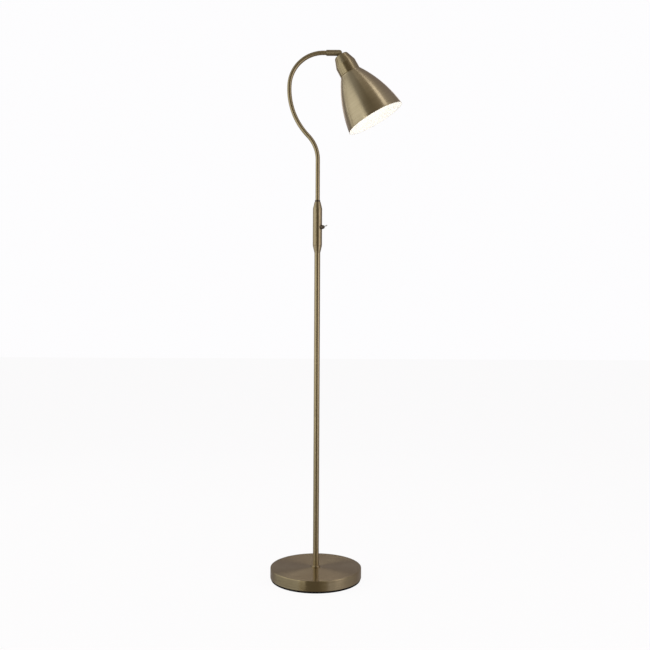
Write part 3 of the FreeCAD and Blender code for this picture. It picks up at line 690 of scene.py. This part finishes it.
def bat_lever():
    """The lever: a pivot ball, a thin neck and a bat that swells to a round tip."""
    ball, neck, tip, length = 2.3, 1.0, 1.7, 16.0
    neck_low, neck_high = 3.2, 4.6
    steps = 8
    outline = [(0, -ball), *arc((0, -ball), (ball, 0), ball)]
    outline += arc((ball, 0), (neck, math.sqrt(ball**2 - neck**2)), ball)
    outline += arc((neck, neck_low), (neck + 0.02, neck_high), 30)
    for step in range(1, steps + 1):
        swell = neck + (tip - neck) * math.sin(math.pi / 2 * step / steps)
        outline.append((swell, neck_high + (length - tip - neck_high) * step / steps))
    outline += arc((tip, length - tip), (0, length), tip)
    shape = {"segments": 64, "closed": False}
    lathe("switch_bat", outline, LEVER, "toggle", "bright_chrome", nickel, ("toggle_lever",), **shape)


# ---------------------------------------------------------------- arm

FIRST_BEND, FIRST_TURN, FIRST_RUN = 94.1, math.radians(43.0), 6.2
SECOND_BEND, SECOND_TURN = 185.8, math.radians(46.5)
THIRD_BEND = 93.8
LEVEL_STEP, BEND_STEP, UPRIGHT_STEP = 6, math.radians(2.5), 10


def arm_route():
    """Return the arm's centre line, walked down from the level end to the upright foot."""
    low, high = box("arm_tube")
    heading = math.pi / 2
    place = Vector((high.x, 0, PIVOT.z / MM))
    lean = SECOND_TURN - FIRST_TURN
    across = SECOND_BEND * (math.cos(FIRST_TURN) - math.cos(lean)) + THIRD_BEND * math.cos(lean)
    back = FIRST_BEND * (1 - math.cos(FIRST_TURN)) + FIRST_RUN * math.sin(FIRST_TURN)
    level = high.x - (across - back)
    steps = (
        (level, None, 0),
        (None, THIRD_BEND, -(math.pi / 2 - lean)),
        (None, SECOND_BEND, -SECOND_TURN),
        (FIRST_RUN, None, 0),
        (None, FIRST_BEND, FIRST_TURN),
    )
    points = [place.copy()]
    for run, bend, turn in steps:
        if bend is None:
            count = max(1, math.ceil(run / LEVEL_STEP))
            for _ in range(count):
                place -= Vector((math.sin(heading), 0, math.cos(heading))) * (run / count)
                points.append(place.copy())
            continue
        count = math.ceil(abs(turn) / BEND_STEP)
        for _ in range(count):
            half = turn / count / 2
            heading += half
            place -= Vector((math.sin(heading), 0, math.cos(heading))) * (2 * bend * math.sin(abs(half)))
            heading += half
            points.append(place.copy())
    count = math.ceil((place.z - low.z) / UPRIGHT_STEP)
    run = (place.z - low.z) / count
    points += [place - Vector((0, 0, run * step)) for step in range(1, count + 1)]
    return points


def arm():
    crook = tube_mesh("arm_crook", arm_route(), ARM_RADIUS)
    finished("arm_crook", crook, UPRIGHT, "arm", tube_brass, ("arm_tube",))


# ---------------------------------------------------------------- knuckle

SLOT_FLOOR = 48.5


def barrel():
    """The barrel: a socket for the arm, a round end, and a slot for the tongue with its screw hole."""
    low, high = box("knuckle_barrel")
    start, radius, centre = low.x, high.z - PIVOT.z / MM, PIVOT.x / MM
    socket, chamber, web = 6.06, 6.0, 4.06
    web_start, web_end = 37.0, 41.0
    bevel = 1.1
    # Only the bevel's upper corner is eased, so the rounded outline's other three corners are left off.
    eased = rounded(((radius, start + bevel, 0.3), (radius, centre), (socket, centre), (socket, start)))[:-3]
    side_end = (radius, centre - 0.01)
    outline = [(socket, start), (radius - bevel, start), *eased, side_end]
    outline += arc(side_end, (0, centre + radius), radius)
    outline += [(0, SLOT_FLOOR), (chamber, SLOT_FLOOR), (chamber, web_end)]
    outline += [(web, web_end), (web, web_start), (socket, web_start)]
    blank = lathe_mesh("knuckle_body", outline, segments=128)
    across = Matrix.Translation((0, 0, centre * MM)) @ Matrix.Rotation(-math.pi / 2, 4, "X")
    cutters = (
        block((-12, -3.1, SLOT_FLOOR), (12, 3.1, 70)),
        drill(2.52, -5.5, 12, across),
        drill(4.6, 6.0, 12, across),
    )
    body = carve(blank, *cutters)
    finished("knuckle_body", body, KNUCKLE, "knuckle", knuckle_brass, ("knuckle_barrel",))


def pivot_screw():
    end, stem, seat, head, top = -5.4, 2.5, 6.0, 4.2, 8.15
    screw = lathe_mesh("pivot_screw", rounded((
        (0, end), (stem, end, 0.4), (stem, seat), (head, seat, 0.1), (head, top, 1.1), (0, top),
    )), segments=96)
    slot = block((-6, -0.5, 7.1), (6, 0.5, 9))
    finished("pivot_screw", carve(screw, slot), TILT, "knuckle", bronze, ("tilt_screw",))


# ---------------------------------------------------------------- head

SEAM, RIM = 64.0, 206.15
SHADE_TOP, SHADE_RIM, SHADE_BOW = 30.7, 82.3, 341.0
SHADE_HOLE = 20.0
METAL, COAT, COAT_GAP = 0.55, 0.22, 0.02


def neck():
    cover = rounded((
        (5.1, 9.0),
        (18.7, 9.0, 1.8),
        (19.95, 10.9, 1.2),
        (28.95, 35.5, 1.6),
        (29.4, SEAM - 1.4, 0.5),
        (28.2, SEAM - 0.1, 0.15),
        (27.5, SEAM - 0.1),
        (28.6, SEAM - 1.7),
        (28.15, 35.8, 1.2),
        (19.0, 10.6, 0.8),
        (5.1, 9.8),
    ))
    lathe("neck_cover", cover, HEAD, "head", "plated_steel", brass, ("neck_cap",))


def shade_side(offset):
    """Return the shade's side, its shoulder, rim and bow, set in square to the side by an offset."""
    shoulder = (SHADE_TOP - 0.83 * offset, SEAM + 1 + 0.56 * offset)
    return shoulder, (SHADE_RIM - offset, RIM), SHADE_BOW - offset


def shade():
    start, end, bow = shade_side(0)
    inner_start, inner_end, inner_bow = shade_side(METAL)
    flat = (SHADE_TOP - 1, SEAM)
    outside = [(SHADE_HOLE, SEAM), flat, *arc(flat, start, 1.02), *arc(start, end, bow)]
    outside += arc(end, inner_end, METAL / 2 + 0.01)
    outside += arc(inner_end, inner_start, -inner_bow)
    outside += [(SHADE_TOP - 1.2, SEAM + METAL), (SHADE_HOLE, SEAM + METAL)]
    # The shade's shell wears the brass painted lighter, a painted brightening of its reflections.
    lathe("shade_shell", outside, HEAD, "head", "plated_steel", shade_brass_painted_lighter, ("shade",), segments=256)


def lining():
    """The white coat, which stops just short of the rim."""
    low, high = METAL + COAT_GAP, METAL + COAT_GAP + COAT
    start, (end, _), bow = shade_side(low)
    inner_start, (inner_end, _), inner_bow = shade_side(high)
    stop = RIM - 0.03
    coat = [(SHADE_HOLE, SEAM + low), (SHADE_TOP - 1.2, SEAM + low), start, *arc(start, (end, stop), bow)]
    coat += [(inner_end, stop), *arc((inner_end, stop), inner_start, -inner_bow)]
    coat += [(SHADE_TOP - 1.4, SEAM + high), (SHADE_HOLE, SEAM + high)]
    lathe("shade_lining", coat, HEAD, "head", "white_enamel", white_coat, segments=256)


def holder():
    """The moulded lampholder, its ring that clamps the shade, and the screw shell inside."""
    nipple, socket, thread, flange = 5.05, 15.2, 19.7, 23.5
    body = rounded((
        (nipple, 15.0),
        (9.0, 15.0, 0.8),
        (9.0, 19.0, 1.0),
        (17.7, 27.0, 2.5),
        (thread, 31.0, 2.0),
        (thread, 60.0, 0.5),
        (flange, 60.0, 0.5),
        (flange, SEAM),
        (thread, SEAM),
        (thread, 72.0, 0.8),
        (socket, 72.0, 0.6),
        (socket, 38.0),
        (nipple, 38.0),
    ))
    lathe("lamp_socket", body, HEAD, "head", "holder_plastic", white_plastic, ("lampholder",), segments=128)

    inside, grip, collar = thread + 0.05, 25.2, 22.4
    ring = rounded((
        (inside, 65.0),
        (grip, 65.0, 0.4),
        (grip, 67.2, 0.6),
        (collar, 68.2, 0.4),
        (collar, 71.0, 0.6),
        (inside, 71.0),
    ))
    shape = {"segments": 192, "shape": notches}
    lathe("socket_ring", ring, HEAD, "head", "holder_plastic", white_plastic, ("shade_ring",), **shape)

    shell = subdivided(ring_outline(13.6, 14.4, 44.0, 70.0, 0.2), longest=3.0)
    lathe("socket_shell", shell, HEAD, "head", "bare_brass", shell_brass, ("holder_shell",), segments=96)


NOTCHES, NOTCH_DEPTH, NOTCH_SHARPNESS = 16, 0.35, 6
NOTCHED_RADIUS = 24


def notches(radius, height, turn):
    """Return the depth of the finger notches round the ring's grip."""
    if radius <= NOTCHED_RADIUS:
        return 0
    return -NOTCH_DEPTH * max(0, math.cos(NOTCHES * turn)) ** NOTCH_SHARPNESS


def bulb_cap():
    """The screw cap: a contact, an insulating cone and five turns of thread, drawn as rings."""
    pitch, turns, steps = 3.6, 5, 10
    first, root, crest, top = 49.5, 12.25, 13.05, 69.4
    thread = []
    for step in range(turns * steps + 1):
        swell = 0.5 - 0.5 * math.cos(2 * math.pi * step / steps)
        thread.append((root + (crest - root) * swell, first + pitch * step / steps))
    cap = [(0, 42.5), (4.0, 42.8), (5.0, 44.5), (10.6, 47.0), (root, 49.2), *thread, (root, top), (0, top)]
    shape = {"segments": 96, "closed": False}
    lathe("bulb_screw_cap", cap, HEAD, "head", "cap_aluminium", cap_metal, ("bulb_cap",), **shape)


def bulb_glass():
    """The hollow glass: a neck from the cap, a flare and a globe."""
    spread = math.radians(50)
    globe, centre, wall = 30.0, 120.0, 0.8
    base, throat, flare = 69.6, 11.9, 45
    neck_top = (13.4, base + 6)
    inner_globe, inner_neck_top = globe - wall, (neck_top[0] - wall, neck_top[1])
    join = (globe * math.sin(spread), centre - globe * math.cos(spread))
    inner_join = (inner_globe * math.sin(spread), centre - inner_globe * math.cos(spread))
    tip, inner_tip = (0, centre + globe), (0, centre + inner_globe)
    outline = [(throat, base), neck_top, *arc(neck_top, join, -flare), *arc(join, tip, globe)]
    outline += [inner_tip, *arc(inner_tip, inner_join, -inner_globe)]
    outline += [*arc(inner_join, inner_neck_top, flare + wall), (throat - wall, base)]
    lathe("bulb_globe", outline, HEAD, "head", "opal_glass", glass, ("bulb_glass",), segments=128)


# ---------------------------------------------------------------- stage, light and camera

FLOOR_HALF_WIDTH = 14
BACKDROP = (0.985, 0.98, 0.99)
LENS, SENSOR = 43.2, 36
EYE, ROLL = (0.0221, -2.152, 0.699), math.radians(0.28)

# The room's colours by bearing in degrees, 0 straight out to the front and + to the right.
ROOM = (
    (-180, (0.27, 0.24, 0.235)),
    (-126, (0.30, 0.28, 0.275)),
    (-118, (0.38, 0.38, 0.38)),
    (-46, (0.40, 0.40, 0.40)),
    (-38, (0.22, 0.195, 0.155)),
    (-18, (0.17, 0.15, 0.115)),
    (8, (0.165, 0.14, 0.105)),
    (27, (0.25, 0.22, 0.175)),
    (34, (0.36, 0.34, 0.34)),
    (100, (0.38, 0.36, 0.37)),
    (122, (0.29, 0.26, 0.26)),
    (180, (0.27, 0.24, 0.235)),
)


# Each light's name, place, aim, width and height in metres, power in watts, and colour.
LIGHTS = (
    ("left_softbox", (-2.3, -0.61, 1.4), (0, -0.61, 1.4), (3.88, 2.8), 21, (0.98, 0.99, 0.95)),
    ("left_low_softbox", (-1.20, -1.845, 0.5), (0, 0, 0.5), (0.70, 1.0), 3.0, (1.0, 1.0, 0.94)),
    ("right_softbox", (1.70, -1.06, 0.85), (0, 0, 0.85), (1.95, 1.7), 4.2, (1.0, 0.95, 1.0)),
    ("right_strip", (1.749, -0.970, 1.2), (0, 0, 1.2), (0.85, 2.2), 4.4, (1.0, 0.97, 1.0)),
    ("shade_strip", (0.818, -0.878, 2.8), (0.12, 0, 1.35), (0.42, 1.0), 1.5, (1.0, 0.99, 1.0)),
    ("front_top_softbox", (0.3, -0.6, 3.0), (0.13, 0, 1.35), (1.6, 1.2), 1.1, (1.0, 0.93, 0.85)),
    ("back_softbox", (0, 2.2, 2.15), (0, 0, 2.15), (2.5, 1.0), 6.5, (1.0, 0.92, 0.92)),
)


def floor():
    made = bmesh.new()
    bmesh.ops.create_grid(made, x_segments=8, y_segments=8, size=FLOOR_HALF_WIDTH)
    mesh = to_mesh(made, "floor")
    ground = linked("floor", mesh)
    shader = Shader("pale_floor")
    shader.set(base_color=(0.10, 0.10, 0.10, 1), roughness=0.9, specular_ior_level=0.0)
    shader.set(emission_color=(1.0, 0.995, 1.0, 1), emission_strength=0.93)
    mesh.materials.append(shader.material)
    ground.visible_glossy = False


def room():
    """Surround the lamp with the room's colours, behind a plain pale backdrop for the camera."""
    world = bpy.data.worlds.new("studio")
    bpy.context.scene.world = world
    world.use_nodes = True
    tree = Nodes(world.node_tree)
    world.node_tree.nodes.clear()
    right, back, _ = tree.split(tree.node("ShaderNodeTexCoord").outputs["Generated"])
    front = tree.maths("MULTIPLY", back, -1.0)
    bearing = tree.maths("ARCTAN2", right, front)
    share = tree.spread(bearing, 0.0, 1.0, -math.pi, math.pi)
    stops = [((angle + 180) / 360, colour) for angle, colour in ROOM]
    lit = tree.node("ShaderNodeBackground")
    tree.link(tree.ramp(share, stops), lit.inputs["Color"])
    seen = tree.node("ShaderNodeBackground")
    seen.inputs["Color"].default_value = (*BACKDROP, 1)
    mixed = tree.node("ShaderNodeMixShader")
    path = tree.node("ShaderNodeLightPath")
    for index, source in enumerate((path.outputs["Is Camera Ray"], lit.outputs[0], seen.outputs[0])):
        tree.link(source, mixed.inputs[index])
    tree.link(mixed.outputs[0], tree.node("ShaderNodeOutputWorld").inputs[0])


def softbox(name, place, aim, size, power, colour):
    light = bpy.data.lights.new(name, "AREA")
    light.shape = "RECTANGLE"
    light.size, light.size_y = size
    light.energy = power
    light.color = colour
    lamp = linked(name, light)
    lamp.location = place
    lamp.rotation_mode = "QUATERNION"
    lamp.rotation_quaternion = (Vector(aim) - Vector(place)).to_track_quat("-Z", "Y")
    lamp.visible_camera = False


def camera():
    data = bpy.data.cameras.new("camera")
    data.lens, data.sensor_width = LENS, SENSOR
    eye = linked("camera", data)
    level = Matrix.Rotation(math.pi / 2, 4, "X")
    eye.matrix_world = Matrix.Translation(EYE) @ level @ Matrix.Rotation(ROLL, 4, "Z")
    bpy.context.scene.camera = eye
    bpy.context.scene.view_settings.view_transform = "Standard"


foot()
lead_bush()
pole()
joint_band()
sleeve()
swivel()
dress_nut()
bat_lever()
arm()
barrel()
pivot_screw()
neck()
shade()
lining()
holder()
bulb_cap()
bulb_glass()
floor()
room()
for settings in LIGHTS:
    softbox(*settings)
camera()
